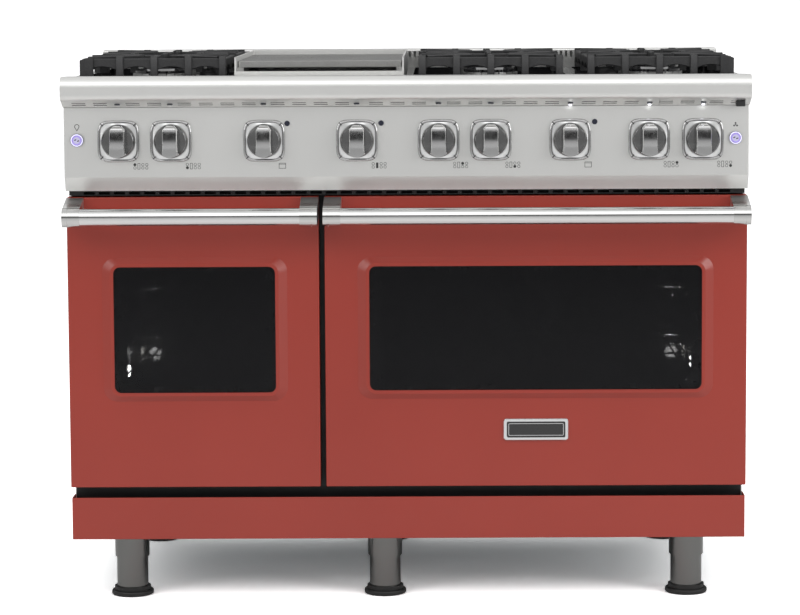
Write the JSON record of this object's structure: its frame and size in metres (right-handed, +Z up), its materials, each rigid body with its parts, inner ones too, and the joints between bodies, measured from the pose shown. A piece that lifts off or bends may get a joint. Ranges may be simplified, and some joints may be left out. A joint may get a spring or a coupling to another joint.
{
  "type": "freestanding gas range",
  "caption": "Wide freestanding gas range on steel legs: two ovens with windowed drop-down doors, gas burners under cast grates, a griddle and pointer knobs.",
  "frame": {"origin": "on the floor, under the middle of the range's bounding box", "axes": "+X to the right as seen from the front, +Y to the back, +Z up"},
  "size_m": [1.216, 0.73, 0.98],
  "materials": {
    "stainless": "brushed along the range's width",
    "galvanized": "plain galvanized sheet",
    "red_paint": "powder coat, semi-gloss",
    "black_paint": "satin black paint",
    "porcelain": "vitreous enamel on steel, glossy black",
    "chrome": "polished",
    "polished_tube": "polished stainless tube",
    "cast_iron": "matt enamelled iron",
    "aluminium": "satin cast",
    "brass": "machined",
    "steel_plate": "ground plate",
    "knob_black": "glossy black",
    "foot_black": "satin black",
    "lens": "translucent bluish plastic",
    "button_face": "satin, backlit",
    "window_glass": "tinted heat-resistant glass"
  },
  "bodies": {
    "root": {"side_panels": "stainless", "back_panel": "galvanized", "base_pan": "galvanized", "toe_kick": "red_paint", "front_frame": "black_paint", "oven_liner_left": "porcelain", "oven_liner_right": "porcelain", "fan_baffle": "porcelain", "fan_motor": "black_paint", "oven_burners": "aluminium", "control_panel": "stainless", "knob_bezels": "chrome", "panel_lenses": "lens", "gas_valves": "brass", "gas_manifold": "black_paint", "landing_ledge": "stainless", "cooktop_pans": "porcelain", "burner_heads": "aluminium", "burner_caps": "porcelain", "griddle_plate": "steel_plate", "griddle_frame": "stainless", "island_trim": "stainless", "legs": "stainless", "leg_feet": "foot_black"},
    "door_left": {"door_left_skin": "red_paint", "door_left_liner": "porcelain", "door_left_glass": "window_glass", "door_left_handle": "polished_tube", "door_left_brackets": "chrome", "door_left_hinges": "galvanized"},
    "door_right": {"door_right_skin": "red_paint", "door_right_liner": "porcelain", "door_right_glass": "window_glass", "door_right_handle": "polished_tube", "door_right_brackets": "chrome", "door_right_hinges": "galvanized", "badge": "chrome"},
    "knob_left_rear": {"knob_left_rear": "knob_black"},
    "knob_left_front": {"knob_left_front": "knob_black"},
    "knob_left_oven": {"knob_left_oven": "knob_black"},
    "knob_griddle": {"knob_griddle": "knob_black"},
    "knob_centre_rear": {"knob_centre_rear": "knob_black"},
    "knob_centre_front": {"knob_centre_front": "knob_black"},
    "knob_right_oven": {"knob_right_oven": "knob_black"},
    "knob_right_rear": {"knob_right_rear": "knob_black"},
    "knob_right_front": {"knob_right_front": "knob_black"},
    "button_oven_light": {"button_oven_light": "button_face"},
    "button_convection": {"button_convection": "button_face"},
    "rack_left_lower": {"rack_left_lower": "chrome"},
    "rack_left_upper": {"rack_left_upper": "chrome"},
    "rack_right_lower": {"rack_right_lower": "chrome"},
    "rack_right_upper": {"rack_right_upper": "chrome"},
    "grate_left_front": {"grate_left_front": "cast_iron"},
    "grate_left_rear": {"grate_left_rear": "cast_iron"},
    "grate_centre_front": {"grate_centre_front": "cast_iron"},
    "grate_centre_rear": {"grate_centre_rear": "cast_iron"},
    "grate_right_front": {"grate_right_front": "cast_iron"},
    "grate_right_rear": {"grate_right_rear": "cast_iron"},
    "grease_tray": {"grease_tray": "black_paint"},
    "convection_fan": {"convection_fan": "aluminium"}
  },
  "joints": [
    {"name": "door_left_hinge", "type": "hinge", "parent": "root", "child": "door_left", "pos_m": [0, -0.266, 0.221], "axis": [1, 0, 0], "range_deg": [0, 90], "stiffness_Nm_per_rad": 34, "springref_deg": -20.05},
    {"name": "door_right_hinge", "type": "hinge", "parent": "root", "child": "door_right", "pos_m": [0, -0.266, 0.221], "axis": [1, 0, 0], "range_deg": [0, 90], "stiffness_Nm_per_rad": 56, "springref_deg": -20.05},
    {"name": "knob_left_rear_turn", "type": "hinge", "parent": "root", "child": "knob_left_rear", "pos_m": [-0.51, -0.315, 0.833], "axis": [0, -1, 0], "range_deg": [0, 210]},
    {"name": "knob_left_front_turn", "type": "hinge", "parent": "root", "child": "knob_left_front", "pos_m": [-0.417, -0.315, 0.833], "axis": [0, -1, 0], "range_deg": [0, 210]},
    {"name": "knob_left_oven_turn", "type": "hinge", "parent": "root", "child": "knob_left_oven", "pos_m": [-0.252, -0.315, 0.833], "axis": [0, -1, 0], "range_deg": [0, 270]},
    {"name": "knob_griddle_turn", "type": "hinge", "parent": "root", "child": "knob_griddle", "pos_m": [-0.0875, -0.315, 0.833], "axis": [0, -1, 0], "range_deg": [0, 270]},
    {"name": "knob_centre_rear_turn", "type": "hinge", "parent": "root", "child": "knob_centre_rear", "pos_m": [0.057, -0.315, 0.833], "axis": [0, -1, 0], "range_deg": [0, 210]},
    {"name": "knob_centre_front_turn", "type": "hinge", "parent": "root", "child": "knob_centre_front", "pos_m": [0.1495, -0.315, 0.833], "axis": [0, -1, 0], "range_deg": [0, 210]},
    {"name": "knob_right_oven_turn", "type": "hinge", "parent": "root", "child": "knob_right_oven", "pos_m": [0.29, -0.315, 0.833], "axis": [0, -1, 0], "range_deg": [0, 270]},
    {"name": "knob_right_rear_turn", "type": "hinge", "parent": "root", "child": "knob_right_rear", "pos_m": [0.43, -0.315, 0.833], "axis": [0, -1, 0], "range_deg": [0, 210]},
    {"name": "knob_right_front_turn", "type": "hinge", "parent": "root", "child": "knob_right_front", "pos_m": [0.525, -0.315, 0.833], "axis": [0, -1, 0], "range_deg": [0, 210]},
    {"name": "button_oven_light_press", "type": "slide", "parent": "root", "child": "button_oven_light", "axis": [0, 1, 0], "range_m": [0, 0.003], "stiffness_N_per_m": 300, "springref_m": -0.001},
    {"name": "button_convection_press", "type": "slide", "parent": "root", "child": "button_convection", "axis": [0, 1, 0], "range_m": [0, 0.003], "stiffness_N_per_m": 300, "springref_m": -0.001},
    {"name": "rack_left_lower_slide", "type": "slide", "parent": "root", "child": "rack_left_lower", "axis": [0, -1, 0], "range_m": [0, 0.055]},
    {"name": "rack_left_upper_slide", "type": "slide", "parent": "root", "child": "rack_left_upper", "axis": [0, -1, 0], "range_m": [0, 0.055]},
    {"name": "rack_right_lower_slide", "type": "slide", "parent": "root", "child": "rack_right_lower", "axis": [0, -1, 0], "range_m": [0, 0.055]},
    {"name": "rack_right_upper_slide", "type": "slide", "parent": "root", "child": "rack_right_upper", "axis": [0, -1, 0], "range_m": [0, 0.055]},
    {"name": "grate_left_front_lift", "type": "slide", "parent": "root", "child": "grate_left_front", "axis": [0, 0, 1], "range_m": [0, 0.08]},
    {"name": "grate_left_rear_lift", "type": "slide", "parent": "root", "child": "grate_left_rear", "axis": [0, 0, 1], "range_m": [0, 0.08]},
    {"name": "grate_centre_front_lift", "type": "slide", "parent": "root", "child": "grate_centre_front", "axis": [0, 0, 1], "range_m": [0, 0.08]},
    {"name": "grate_centre_rear_lift", "type": "slide", "parent": "root", "child": "grate_centre_rear", "axis": [0, 0, 1], "range_m": [0, 0.08]},
    {"name": "grate_right_front_lift", "type": "slide", "parent": "root", "child": "grate_right_front", "axis": [0, 0, 1], "range_m": [0, 0.08]},
    {"name": "grate_right_rear_lift", "type": "slide", "parent": "root", "child": "grate_right_rear", "axis": [0, 0, 1], "range_m": [0, 0.08]},
    {"name": "grease_tray_lift", "type": "slide", "parent": "root", "child": "grease_tray", "axis": [0, 0, 1], "range_m": [0, 0.06]},
    {"name": "convection_fan_spin", "type": "hinge", "parent": "root", "child": "convection_fan", "pos_m": [0.23, 0.25, 0.47], "axis": [0, 1, 0], "continuous": true}
  ]
}
